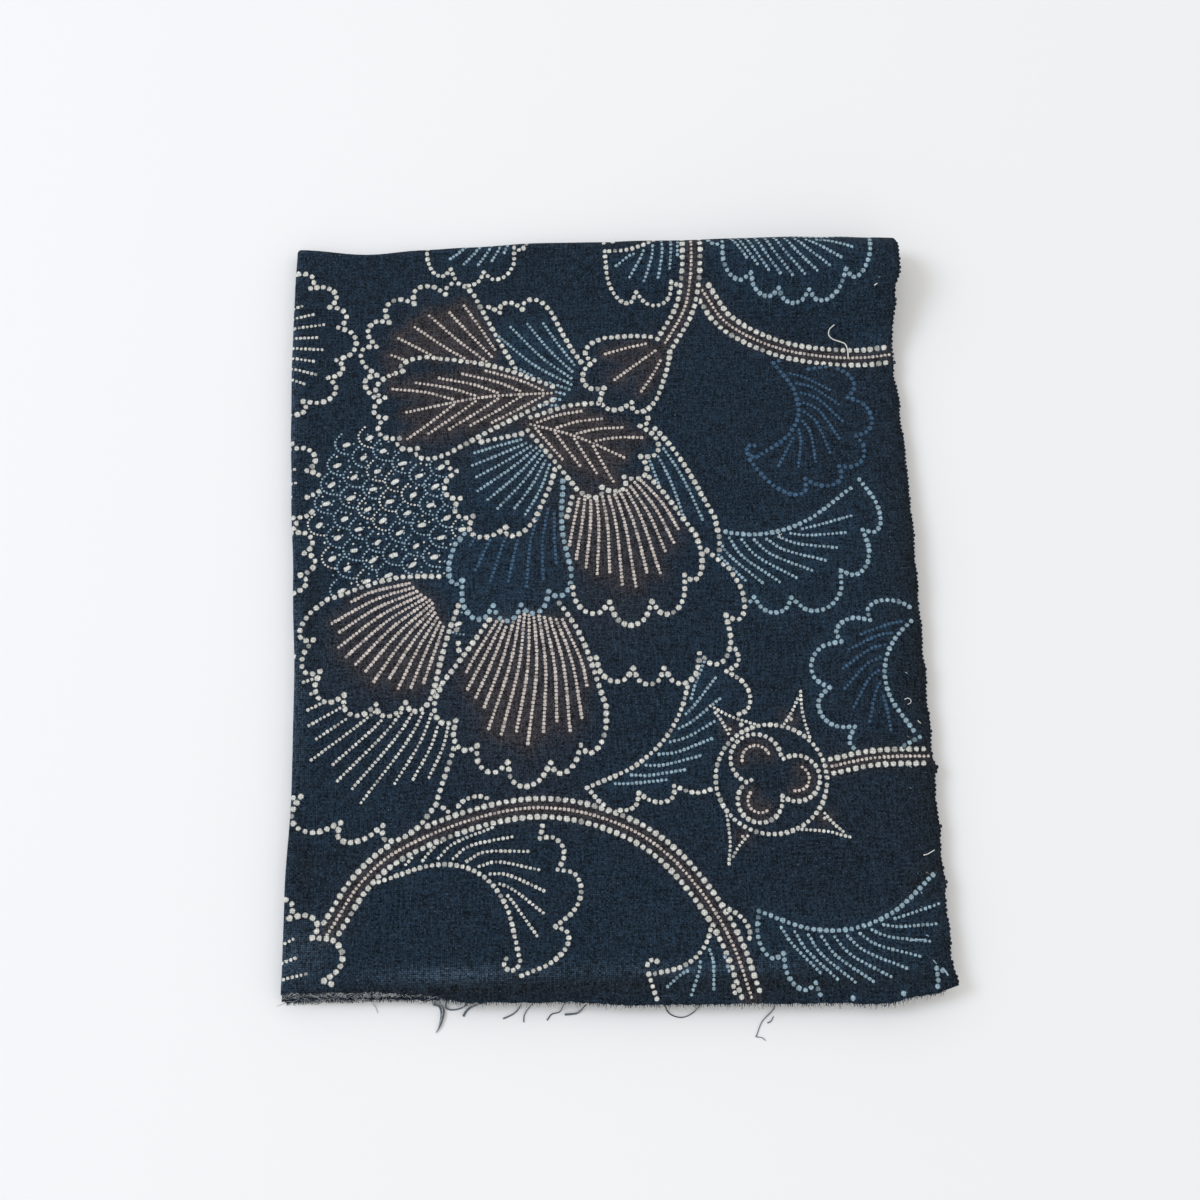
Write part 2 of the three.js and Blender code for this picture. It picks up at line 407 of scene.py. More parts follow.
def seed(x, y, turn, length, width, colour="white"):
    """One long dot on its own."""
    place = np.array([x, y], dtype=float)
    if not is_free(place, SEED_ROOM) or is_covered(place):
        return
    take(place, SEED_ROOM)
    direction = np.array([math.cos(math.radians(turn)), math.sin(math.radians(turn))])
    side = np.array([-direction[1], direction[0]])
    cell = []
    for along, across in ((-1, 1), (-1, -1), (1, -1), (1, 1)):
        corners.append(place + direction * along * length * 1.35 + side * across * width * 1.35)
        cell.append(len(corners) - 1)
    dots.append((place, direction, length, width, DOT_COLOURS[colour], tuple(cell)))


def bent(base, tip, bend):
    """A motif's own frame: the place at share s of the way from its base to its tip, and t millimetres
    to the left of its middle line. That line bulges to the left by bend, a share of its length."""
    base = np.array(base, dtype=float)
    tip = np.array(tip, dtype=float)
    middle = (base + tip) / 2 + 2 * bend * np.array([base[1] - tip[1], tip[0] - base[0]])

    def place(s, t):
        ahead = (1 - s) * (middle - base) + s * (tip - middle)
        ahead = ahead / np.hypot(*ahead)
        on_line = (1 - s) ** 2 * base + 2 * s * (1 - s) * middle + s * s * tip
        return on_line + t * np.array([-ahead[1], ahead[0]])

    return place


def notches(lobes):
    """Where the notches between lobes are, from 0 to 1, a little uneven."""
    shares = np.arange(lobes + 1) / lobes
    shares[1:-1] += rng.uniform(-0.16, 0.16, lobes - 1) / lobes
    return shares


def petal(base, tip, bend, spread, lobes, veins, outline="cream", vein="pink", vein_size=SMALL,
          ribbed=False):
    """A fan of spread degrees to each side with a lobed end. Its veins fan out, or leave a middle rib."""
    place = bent(base, tip, bend)
    length = math.dist(base, tip)
    spread = math.radians(spread)

    def fan(share, radius):
        return place(radius * math.cos(share * spread), length * radius * math.sin(share * spread))

    def reach(share):
        return 0.9 - 0.2 * share * share

    shares = notches(lobes) * 2 - 1
    edge = []
    for start, stop in zip(shares[:-1], shares[1:]):
        bulge = 0.42 * (stop - start) * spread
        lobe = []
        for u in np.linspace(0, 1, 7):
            at = start + (stop - start) * u
            lobe.append(fan(at, reach(at) + bulge * math.sin(math.pi * u) ** 0.6))
        edge.append(lobe)
    sides = [[fan(side * bow, radius) for bow, radius in ((0.8, 0.12), (1.05, 0.4), (1, reach(1)))]
             for side in (-1, 1)]
    row([sides[0], *edge, sides[1][::-1]], LARGE, outline)
    if ribbed:
        row([[fan(0, 0.12), fan(0, 0.45), fan(0, 0.8)]], vein_size, vein)
        for start in np.linspace(0.14, 0.56, veins):
            for side in (-1, 1):
                row([[place(start + 0.02, side * 0.9), place(start + 0.13, side * length * spread * 0.2),
                      place(start + 0.27, side * length * spread * 0.36)]], vein_size, vein)
    else:
        for share in (np.arange(veins) + 0.5) / max(veins, 1) * 1.84 - 0.92:
            end = reach(share) - rng.uniform(0.08, 0.16)
            row([[fan(share, 0.26 + 0.08 * abs(share)), fan(share * 1.04, 0.5), fan(share, end)]],
                vein_size, vein)
    cover([point for piece in (sides[0], *edge, sides[1][::-1]) for point in piece])


def around(middle, distance, angle):
    """The place at a distance and an angle, in radians, from a middle."""
    return middle + distance * np.array([math.cos(angle), math.sin(angle)])


def leaf(base, tip, bend, width, lobes, veins, outline="cream", vein="pale", curl=0.0):
    """A curled leaf: one smooth side, and a lobed one up to width millimetres to its left. curl is the
    radius of the curl that the smooth side ends in."""
    place = bent(base, tip, bend)
    side = math.copysign(1, width)

    def edge_at(share, out=0.0):
        return place(1.05 * share, width * math.sin(math.pi * share ** 1.25) ** 0.75 + side * out)

    shares = notches(lobes)
    edge = []
    for start, stop in zip(shares[:-1], shares[1:]):
        bulge = 0.38 * float(np.hypot(*(edge_at(stop) - edge_at(start))))
        edge.append([edge_at(start + (stop - start) * u, bulge * math.sin(math.pi * u) ** 0.6)
                     for u in np.linspace(0, 1, 7)])
    smooth_side = [place(s, 0) for s in (0, 0.25, 0.5, 0.75, 1)]
    row([smooth_side], LEAF, outline)
    row(edge, LEAF, outline)
    if curl:
        middle = place(1, -side * curl)
        ahead = smooth_side[-1] - middle
        turn = math.atan2(ahead[1], ahead[0])
        row([[around(middle, curl * (1 - 0.1 * step), turn - side * 0.8 * step) for step in range(6)]],
            LEAF, outline)
    for start in np.linspace(0.12, 0.72, veins):
        share = start + 0.2
        across = width * math.sin(math.pi * share ** 1.25) ** 0.75
        row([[place(start, side * 1.6), place(start + 0.07, across * 0.34), place(share, across * 0.74)]],
            SMALL, vein)
    cover([*smooth_side, *[point for piece in edge[::-1] for point in piece[::-1]]])


def stem(points, width):
    """Two rows of large dots with a row of small ones between them."""
    line = smooth_path(points)
    ahead = np.gradient(line, axis=0)
    ahead /= np.linalg.norm(ahead, axis=1)[:, None]
    side = np.stack([-ahead[:, 1], ahead[:, 0]], axis=1) * width / 2
    row([(line + side)[::4]], STEM, "cream")
    row([(line - side)[::4]], STEM, "cream")
    row([line[::4]], SMALL, "pink")
    cover([*(line + side), *(line - side)[::-1]])


def ring(middle, radius, start, stop, size, colour, steps=14):
    """An arc of dots, from one angle in degrees to another."""
    angles = np.radians(np.linspace(start, stop, steps))
    row([[around(middle, radius, angle) for angle in angles]], size, colour)


# A sepal's places on the bud: degrees from the sepal's own angle, and distance in radii of the bud.
SEPAL = ((-14, 1.05), (2, 1.35), (9, 1.72), (10, 1.35), (14, 1.05))


def bud(middle, radius):
    """A round bud: a ring, closed petals that curl inside it, and four pointed sepals."""
    middle = np.array(middle, dtype=float)
    ring(middle, radius, 0, 352, LEAF, "cream", 28)
    for turn, reach in ((0, 0.42), (125, 0.46), (240, 0.4)):
        heart = around(middle, radius * 0.45, math.radians(turn))
        ring(heart, radius * reach, turn - 130, turn + 120, LEAF, "cream")
        ring(heart, radius * reach * 0.55, turn - 100, turn + 60, SMALL, "pink", 8)
    for turn in (60, 118, 232, 312):
        ends = [around(middle, radius * distance, math.radians(turn + angle)) for angle, distance in SEPAL]
        row([ends[:3], ends[2:]], SMALL, "cream")
        row([[middle + (ends[2] - middle) * 0.68, middle + (ends[2] - middle) * 0.86]], SMALL, "pink")
    cover([around(middle, radius, angle) for angle in np.linspace(0, 6.2, 30)])


# The stem from the top, its two branches, and the cup that the left one ends in.
stem([(27, 113), (27, 98), (25, 86), (19, 75)], 5.0)
petal((22, 77), (-1, 60), 0.0, 36, 4, 3)
stem([(30, 90), (37, 80), (52, 72), (70, 69), (86, 70)], 4.4)
# The flower: front petals, then its seed head, then the petals behind them.
petal((-24, 52), (13, 36), 0.06, 30, 5, 4, ribbed=True)
petal((-6, 60), (-65, 52), -0.05, 21, 6, 5, ribbed=True)
petal((-10, 52), (-41, 25), 0.05, 30, 5, 8, vein="pale")
petal((-8, 40), (-26, -7), -0.12, 27, 5, 7, outline="pale", vein="blue")
petal((-6, 50), (6, -8), 0.08, 28, 5, 12, vein_size=VEIN)
petal((-34, 8), (-73, -29), -0.08, 31, 6, 12, vein_size=VEIN)
petal((-22, 14), (-29, -50), 0.07, 29, 6, 13, vein_size=VEIN)

# The seed head: rows of small scales, each with one long seed, inside an oval.
HEAD_MIDDLE = (-55, 20)
HEAD_SIZE = (21, 31)
HEAD_TURN = math.radians(18)
SCALE_PITCH = (6.6, 4.9)
SCALE_CURVE = [(-1.2, 3.2), (-2.6, 1.6), (-2.9, 0.2), (-2.1, -1.6), (-0.4, -2.6), (1.6, -2.9)]
FINE_DOT_TRIES = 1400


def scale(x, y):
    """One scale: its seed, and the curve of fine dots that holds it from the left and below."""
    seed(x, y, 25 + rng.uniform(-14, 14), rng.uniform(0.95, 1.22), rng.uniform(0.5, 0.64))
    x = x + rng.uniform(-0.3, 0.3)
    row([[(x + u, y + v) for u, v in SCALE_CURVE]], FINE, "pale" if rng.random() < 0.75 else "cream")


def on_head(x, y):
    """A place given from the middle of the seed head, and whether it is on the head."""
    place = np.array([HEAD_MIDDLE[0] + x * math.cos(HEAD_TURN) - y * math.sin(HEAD_TURN),
                      HEAD_MIDDLE[1] + x * math.sin(HEAD_TURN) + y * math.cos(HEAD_TURN)])
    return place, (x / HEAD_SIZE[0]) ** 2 + (y / HEAD_SIZE[1]) ** 2 < 1 and not is_covered(place)


for line in range(-6, 7):
    for column in range(-4, 5):
        place, there = on_head((column + 0.5 * (line % 2)) * SCALE_PITCH[0], line * SCALE_PITCH[1])
        if there:
            scale(*(place + rng.uniform(-0.5, 0.5, 2)))
# loose fine dots between the scales
for _ in range(FINE_DOT_TRIES):
    place, there = on_head(*rng.uniform(-1, 1, 2) * HEAD_SIZE)
    if there and is_free(place, 0.9):
        seed(*place, rng.uniform(0, 90), rng.uniform(0.24, 0.36), 0.25,
             "pale" if rng.random() < 0.7 else "cream")
cover([on_head(0.96 * HEAD_SIZE[0] * math.cos(angle), 0.96 * HEAD_SIZE[1] * math.sin(angle))[0]
       for angle in np.linspace(0, 6.2, 30)])

petal((-6, 30), (11, -26), 0.1, 39, 7, 0)
petal((2, 64), (20, -2), 0.07, 15, 4, 5, vein="pale")
petal((-40, 2), (-90, -51), 0.1, 33, 7, 14, vein="cream")
petal((-18, 62), (-62, 87), 0.06, 34, 6, 8)
petal((6, 58), (-38, 86), 0.1, 29, 6, 8, vein="pale")
# A second flower, most of it round the side fold.
petal((-112, 78), (-68, 77), 0.0, 41, 7, 12, vein="cream")
petal((-108, 34), (-77, 36), 0.0, 36, 5, 7, vein="cream")
petal((-108, 10), (-78, 16), 0.0, 28, 4, 6, vein="pale")
petal((-112, -104), (-70, -92), 0.0, 34, 5, 8, vein="cream")
# The vine under the flower, the bud, and the curled leaves.
stem([(-76, -92), (-58, -68), (-22, -56), (8, -64), (27, -86), (36, -112)], 4.8)
bud((42, -50), 14.5)
stem([(58, -47), (70, -45), (88, -45)], 3.8)
leaf((-6, -51), (22, -12), -0.2, -14, 6, 8)
leaf((-60, -74), (-24, -95), 0.34, 17, 7, 9, vein="cream", curl=2.6)
leaf((25, -82), (10, -99), 0.24, 12, 4, 5, curl=2.2)
leaf((37, -84), (82, -76), -0.2, -19, 7, 10, outline="pale")
leaf((15, 28), (68, 30), -0.22, -19, 7, 11, outline="pale")
leaf((49, 68), (43, 40), 0.32, 17, 6, 8, outline="blue", vein="blue", curl=2.4)
leaf((84, -6), (80, -38), -0.26, -15, 5, 7, outline="pale", vein="blue")
leaf((24, 112), (4, 103), 0.14, 14, 4, 6, curl=2.2)
leaf((32, 112), (75, 104), -0.08, -16, 6, 10, outline="pale")
leaf((-20, 114), (-46, 110), 0.12, 11, 4, 6)

# The stencil goes on round the end fold, and, turned half round, over the inner half of the width.
REPEAT = 219.0
scroll_dots = len(dots)


def copy_scroll(moved, turn, wanted):
    """The wanted dots of the scroll again, elsewhere. turn is -1 where the scroll is turned half round."""
    copies = {}
    for place, direction, half_length, half_width, colour, cell in dots[:scroll_dots]:
        new_place = moved(place)
        if not wanted(place, half_width) or not is_free(new_place, half_width):
            continue
        take(new_place, half_width)
        for corner in cell:
            if corner not in copies:
                copies[corner] = len(corners)
                corners.append(moved(corners[corner]))
        dots.append((new_place, direction * turn, half_length, half_width, colour,
                     tuple(copies[corner] for corner in cell)))


# its finest rows are left out where it goes on underneath
copy_scroll(lambda place: place + np.array([0, REPEAT]), 1,
            lambda place, size: place[1] > -105 and size > 0.45)
copy_scroll(lambda place: np.array([-173, 190]) - place, -1,
            lambda place, size: place[0] > 35 and place[1] > 15)

# The sheet: the flat cloth is cut into triangles along the cells of the dots, along lines close to both
# folds, and over a grid elsewhere. Then each corner is moved to where it lies.
GRID = 3.4
SIDE_ROWS = 10
END_ROWS = 14
EDGE_STEP = 0.9

across_edge = np.arange(-255, 84, EDGE_STEP)
along_edge = np.arange(-104, 318, EDGE_STEP * 2)


def border_points():
    """The outline of the flat cloth, anticlockwise: raw end, outer selvedge, raw end, inner selvedge."""
    points = []
    ragged = rng.uniform(-0.22, 0.22, 4000)
    for a, shift in zip(across_edge, ragged):
        points.append((a, float(raw_end_along(np.array([a]), False)[0]) + shift))
    right = selvedge_across(along_edge, False)
    points += [(float(a), float(b)) for a, b in zip(right, along_edge)]
    for a, shift in zip(across_edge[::-1], ragged[1000:]):
        points.append((a, float(raw_end_along(np.array([a]), True)[0]) + shift))
    left = selvedge_across(along_edge[::-1], True)
    points += [(float(a), float(b)) for a, b in zip(left, along_edge[::-1])]
    return points


border = border_points()
# The corners of the cloth: rows of the outline that run past each other are cut back.
border_across = np.array([point[0] for point in border])
border_along = np.array([point[1] for point in border])
keep = (border_across >= selvedge_across(border_along, True) - 0.3) & (
    border_across <= selvedge_across(border_along, False) + 0.3) & (
    border_along >= raw_end_along(border_across, False) - 0.3) & (
    border_along <= raw_end_along(border_across, True) + 0.3)
border = [point for point, kept in zip(border, keep) if kept]

points = [Vector(point) for point in border]
edges = []
faces = [list(range(len(points)))]


def on_cloth(across, along, margin):
    """Whether places are on the cloth, at least margin from its edges."""
    past_inner = across > selvedge_across(along, True) + margin
    before_outer = across < selvedge_across(along, False) - margin
    past_upper = along > raw_end_along(across, False) + margin
    before_lower = along < raw_end_along(across, True) - margin
    return past_inner & before_outer & past_upper & before_lower


def add_line(across, along):
    """A line that the triangles don't cross."""
    kept = on_cloth(across, along, 0.4)
    places = list(zip(across[kept], along[kept]))
    first = len(points)
    points.extend(Vector(place) for place in places)
    edges.extend((first + i, first + i + 1) for i in range(len(places) - 1)
                 if (points[first + i] - points[first + i + 1]).length < 9)


side_along = np.arange(-106, 320, 3.0)
crease_y = trace_folds(np.full_like(side_along, -HALF_WIDTH), side_along)
_, side_low, _, side_high = pairs_at(np.full_like(side_along, -HALF_WIDTH), crease_y[1])
side_half = side_low + (side_high - side_low) * (np.sin(crease_y[3]) + 1) / 2
crease_line = -HALF_WIDTH + table_at(SIDES, 1, crease_y[1]) + side_half + SHEET / 2
for number in range(-2, SIDE_ROWS + 3):
    add_line(crease_line - math.pi * side_half * number / SIDE_ROWS, side_along)
end_across = np.arange(-257, 86, 3.0)
end_start, end_radius = bend_at(np.maximum(end_across, -2 * HALF_WIDTH - 1 - end_across))
for number in range(-2, END_ROWS + 3):
    add_line(end_across, end_start + math.pi * end_radius * number / END_ROWS)

grid_across, grid_along = np.meshgrid(np.arange(-256, 85, GRID), np.arange(-105, 320, GRID))
grid_across = grid_across.ravel()
grid_along = grid_along.ravel()
_, _, grid_side, grid_end = trace_folds(grid_across, grid_along)
flat = (np.abs(grid_side) > 1.57) & (np.abs(grid_end) > 1.57) & on_cloth(grid_across, grid_along, 0.8)
points.extend(Vector(place) for place in zip(grid_across[flat], grid_along[flat]))

cell_numbers = []
corner_points = {}
corner_places = np.array(corners)
corner_kept = on_cloth(corner_places[:, 0], corner_places[:, 1], 0.25)
for number, dot in enumerate(dots):
    if not all(corner_kept[corner] for corner in dot[5]):
        continue
    for corner in dot[5]:
        if corner not in corner_points:
            corner_points[corner] = len(points)
            points.append(Vector(corners[corner]))
    faces.append([corner_points[corner] for corner in dot[5]])
    cell_numbers.append(number)

made_points, _, made_faces, _, _, made_from = delaunay_2d_cdt(points, edges, faces, 1, 1e-4)
flat_across = np.array([point.x for point in made_points])
flat_along = np.array([point.y for point in made_points])
place_x, place_y, place_z = lying(flat_across, flat_along)



def uneven(x, y):
    """Broad and smaller swellings, around 0."""
    broad = noise.noise(Vector((x / 21, y / 24, 3.1)))
    return broad + 0.5 * noise.noise(Vector((x / 8, y / 9, 7.7)))


# Small unevenness of all the layers, which fades towards the table.
unevenness = np.array([uneven(x, y) for x, y in zip(place_x, place_y)])
place_z = place_z + 0.22 * unevenness * np.clip(place_z / 4, 0, 1.2)

cloth_mesh = bpy.data.meshes.new("katazome_cloth")
cloth_places = np.stack([place_x, place_y, place_z], axis=1) * MM
cloth_mesh.from_pydata(cloth_places.tolist(), [], made_faces)
cloth_mesh.polygons.foreach_set("use_smooth", [True] * len(made_faces))

cloth_mesh.uv_layers.new(name="Flat")
cloth_mesh.attributes.new("dot_place", "FLOAT_VECTOR", "CORNER")
cloth_mesh.attributes.new("dot_colour", "FLOAT_COLOR", "CORNER")
cloth_mesh.attributes.new("tint_and_painted_light", "FLOAT_COLOR", "POINT")
uv_values = []
place_values = []
colour_values = []
for face, sources in zip(made_faces, made_from):
    cells = [cell_numbers[source - 1] for source in sources if source > 0]
    chosen = None
    if cells:
        centre = np.array([flat_across[face].mean(), flat_along[face].mean()])
        chosen = dots[min(cells, key=lambda cell: np.hypot(*(centre - dots[cell][0])) / dots[cell][2])]
    for vertex in face:
        a = flat_across[vertex]
        b = flat_along[vertex]
        uv_values.extend((a * MM, b * MM))
        if chosen is None:
            place_values.extend((9.0, 9.0, 0.0))
            colour_values.extend((0.0, 0.0, 0.0, 0.0))
            continue
        place, direction, half_length, half_width, colour, _ = chosen
        du = a - place[0]
        dv = b - place[1]
        place_values.extend(((du * direction[0] + dv * direction[1]) / half_length,
                             (dv * direction[0] - du * direction[1]) / half_width, 0.0))
        colour_values.extend(colour)
cloth_mesh.uv_layers["Flat"].data.foreach_set("uv", uv_values)
cloth_mesh.attributes["dot_place"].data.foreach_set("vector", place_values)
cloth_mesh.attributes["dot_colour"].data.foreach_set("color", colour_values)

# Colour in the ground. Brushed brown and light blue lie beside the rows that they were brushed on.
BRUSH_REACH = 4.0
BRUSH_FADE = 2.2
tint_and_painted_light_values = np.zeros((len(made_points), 4))
brushed_places = KDTree(len(brushed))
for number, (place, _) in enumerate(brushed):
    brushed_places.insert((place[0], place[1], 0), number)
brushed_places.balance()
for vertex, point in enumerate(made_points):
    for _, number, distance in brushed_places.find_range((point.x, point.y, 0), BRUSH_REACH):
        amounts = np.multiply(brushed[number][1], math.exp(-(distance / BRUSH_FADE) ** 2))
        tint_and_painted_light_values[vertex, :2] = np.maximum(tint_and_painted_light_values[vertex, :2], amounts)
# Softer colour: browner or bluer where dye left it so; paler where worn, and along the side fold also painted
# light where it turns towards the lamp; greyer with painted shade in creases and in a trough inside the side
# fold, and darker along the edges, the end fold and over a broad patch. Place, half of the size across and
# along, turn in degrees, and the amounts of brown, blue, wear and painted light, and painted shade and
# darkening.
TINTS = [
    (-28, 52, 26, 10, 20, 0.3, 0, 0, 0), (-6, 30, 11, 14, 0, 0.35, 0, 0, 0),
    (-24, -30, 14, 20, 15, 0.4, 0, 0, 0), (-58, -18, 16, 11, 0, 0.3, 0, 0, 0),
    (3, 3, 12, 14, 0, 0.3, 0, 0, 0), (-44, 80, 12, 8, 10, 0.2, 0, 0, 0),
    (-50, 16, 24, 20, -30, 0, 0.3, 0, 0), (-16, 72, 14, 7, -15, 0, 0.4, 0, 0),
    (-28, 6, 10, 12, -20, 0, 0.45, 0, 0), (77, 73, 5, 4, 0, 0, 0.9, 0, 0),
    (-84.5, -22, 3.2, 26, 0, 0, 0, 0.6, 0), (-85.5, 0, 1.6, 110, 0, 0, 0, 0.5, 0),
    (-81, -92, 8, 10, 0, 0, 0, 0.3, 0), (-38, -97.8, 20, 1.0, 1, 0, 0, 0.55, 0),
    (16, -98.5, 40, 0.9, 0.5, 0, 0, 0.35, 0), (86, -10, 9, 90, 0, 0, 0, 0, 0.8),
    (-25, -102, 62, 2.6, 1, 0, 0, 0, 0.9), (50, -103, 40, 2.4, 1, 0, 0, 0, 0.7),
    (-79.2, -2, 1.8, 13, -3, 0, 0, 0, 0.9), (-79.5, -72, 2.4, 15, 3, 0, 0, 0, 0.65),
    (-70, -66, 8, 2.5, 30, 0, 0, 0, 0.4), (20, 104, 60, 3, 0, 0, 0, 0, 0.25),
    (79, -76.5, 8, 1.7, 35, 0, 0, 0, 0.9), (62, -62, 34, 46, 0, 0, 0, 0, 0.22)]
for at_a, at_b, across, along, turn, *amounts in TINTS:
    cos = math.cos(math.radians(turn))
    sin = math.sin(math.radians(turn))
    u = ((flat_across - at_a) * cos + (flat_along - at_b) * sin) / across
    v = ((flat_along - at_b) * cos - (flat_across - at_a) * sin) / along
    tint_and_painted_light_values += np.exp(-u * u - v * v)[:, None] * amounts
cloth_mesh.attributes["tint_and_painted_light"].data.foreach_set("color", np.clip(tint_and_painted_light_values, 0, 1).ravel())

# The cotton itself: plain weave of slightly uneven yarns, dyed with indigo. One node group makes its colour
# and its height for the patterned face, for the reverse, where the dots show faintly, and for the cut edge.
YARN = 0.52 * MM


def node(tree, kind, inputs=None, **settings):
    """A new node. Each of inputs is a value, or another node's output to link."""
    made = tree.nodes.new(kind)
    for key, value in settings.items():
        setattr(made, key, value)
    for key, value in (inputs or {}).items():
        if isinstance(value, bpy.types.NodeSocket):
            tree.links.new(value, made.inputs[key])
        else:
            made.inputs[key].default_value = value
    return made


def maths(tree, operation, first, second=0.0, third=0.0, clamp=False):
    """The output of a Math node."""
    made = node(tree, "ShaderNodeMath", {0: first, 1: second, 2: third}, operation=operation,
                use_clamp=clamp)
    return made.outputs[0]


cotton = bpy.data.node_groups.new("resist_dyed_cotton", "ShaderNodeTree")
for socket_name, socket_type, value in (
        ("Ground", "NodeSocketColor", srgb(33, 45, 58)), ("Dots", "NodeSocketFloat", 1.0)):
    socket = cotton.interface.new_socket(socket_name, in_out="INPUT", socket_type=socket_type)
    socket.default_value = value
cotton.interface.new_socket("Colour", in_out="OUTPUT", socket_type="NodeSocketColor")
cotton.interface.new_socket("Height", in_out="OUTPUT", socket_type="NodeSocketFloat")
group_in = cotton.nodes.new("NodeGroupInput")
group_out = cotton.nodes.new("NodeGroupOutput")

flat_place = node(cotton, "ShaderNodeUVMap", uv_map="Flat").outputs["UV"]
drift = node(cotton, "ShaderNodeTexNoise", {"Vector": flat_place, "Scale": 90.0, "Detail": 2.0})
drift_centred = node(cotton, "ShaderNodeVectorMath", {0: drift.outputs["Color"], 1: (0.5, 0.5, 0.5)},
                     operation="SUBTRACT").outputs[0]
drift_small = node(cotton, "ShaderNodeVectorMath", {0: drift_centred, "Scale": 0.9 * MM},
                   operation="SCALE").outputs[0]
yarn_place = node(cotton, "ShaderNodeVectorMath", {0: flat_place, 1: drift_small},
                  operation="ADD").outputs[0]
yarn_axes = node(cotton, "ShaderNodeSeparateXYZ", {0: yarn_place})
warp_wave = maths(cotton, "SINE", maths(cotton, "MULTIPLY", yarn_axes.outputs[0], math.pi / YARN))
weft_wave = maths(cotton, "SINE", maths(cotton, "MULTIPLY", yarn_axes.outputs[1], math.pi / YARN))
crossing = maths(cotton, "MULTIPLY", warp_wave, weft_wave)
yarn_height = maths(cotton, "POWER", maths(cotton, "ABSOLUTE", crossing), 0.6)


def streaks(scale_across, scale_along, amount):
    """Uneven yarns: noise that is stretched along one direction, around 0."""
    mapping = node(cotton, "ShaderNodeMapping", {
        "Vector": flat_place, "Scale": (scale_across, scale_along, 1.0)})
    made = node(cotton, "ShaderNodeTexNoise", {"Vector": mapping.outputs[0], "Scale": 1.0, "Detail": 3.0,
                                               "Roughness": 0.65})
    return maths(cotton, "MULTIPLY", maths(cotton, "SUBTRACT", made.outputs[0], 0.5), amount)


warp_streaks = streaks(1500.0, 260.0, 4.9)
weft_streaks = streaks(260.0, 1500.0, 4.2)
blotches = streaks(45.0, 45.0, 0.45)
grain = streaks(1800.0, 1800.0, 3.6)
over = maths(cotton, "GREATER_THAN", crossing, 0.0)
yarn_tone = node(cotton, "ShaderNodeMix", {0: over, 2: weft_streaks, 3: warp_streaks},
                 data_type="FLOAT").outputs[0]
crossing_place = node(cotton, "ShaderNodeVectorMath", {0: yarn_place, 1: (YARN, YARN, YARN)},
                      operation="SNAP").outputs[0]
crossing_large = node(cotton, "ShaderNodeVectorMath", {0: crossing_place, "Scale": 1000.0},
                      operation="SCALE")
crossing_tone = node(cotton, "ShaderNodeTexWhiteNoise", {"Vector": crossing_large.outputs[0]},
                     noise_dimensions="2D").outputs[0]
crossing_tone = maths(cotton, "MULTIPLY", maths(cotton, "SUBTRACT", crossing_tone, 0.5), 0.75)
tone = maths(cotton, "ADD", maths(cotton, "ADD", yarn_tone, blotches),
             maths(cotton, "ADD", grain, crossing_tone))
# Shade: painted shade, darker where the yarns dip between their crossings, plus the yarns' own uneven tone.
shade = maths(cotton, "ADD", maths(cotton, "MULTIPLY", yarn_height, 0.4), 0.72)
shade = maths(cotton, "MAXIMUM", maths(cotton, "ADD", shade, tone), 0.2)

tint_and_painted_light_read = node(cotton, "ShaderNodeAttribute", attribute_name="tint_and_painted_light")
tint_and_painted_light_parts = node(cotton, "ShaderNodeSeparateColor", {0: tint_and_painted_light_read.outputs["Color"]})


def mixed(amount, first, second, blend="MIX"):
    """The output of a Mix node for colours."""
    made = node(cotton, "ShaderNodeMix", {0: amount, 6: first, 7: second}, data_type="RGBA",
                blend_type=blend)
    return made.outputs[2]


ground = mixed(maths(cotton, "MULTIPLY", tint_and_painted_light_parts.outputs[0], 0.5), group_in.outputs["Ground"],
               srgb(76, 65, 60))
ground = mixed(maths(cotton, "MULTIPLY", tint_and_painted_light_parts.outputs[1], 0.45), ground, srgb(36, 60, 80))
# Paler where worn, on the tops of the yarns; along the side fold this is also painted light, where the fold
# turns towards the lamp.
wear_and_painted_light = maths(cotton, "MULTIPLY", tint_and_painted_light_parts.outputs[2], maths(cotton, "ADD", yarn_height, 0.1), clamp=True)
ground = mixed(wear_and_painted_light, ground, srgb(82, 102, 122))
# Painted shade in creases and in the trough inside the side fold, and darker along the edges, the end fold and
# over a broad patch.
ground = mixed(maths(cotton, "MULTIPLY", tint_and_painted_light_read.outputs["Alpha"], 0.85), ground, srgb(27, 32, 37))
ground = mixed(1.0, ground, node(cotton, "ShaderNodeCombineXYZ", {0: shade, 1: shade, 2: shade}).outputs[0],
               "MULTIPLY")
speckle = node(cotton, "ShaderNodeTexNoise", {"Vector": flat_place, "Scale": 1900.0, "Detail": 1.0})
speckle = node(cotton, "ShaderNodeMapRange", {0: speckle.outputs[0], 1: 0.66, 2: 0.8, 3: 0.0, 4: 0.5})
ground = mixed(speckle.outputs[0], ground, srgb(110, 124, 138))

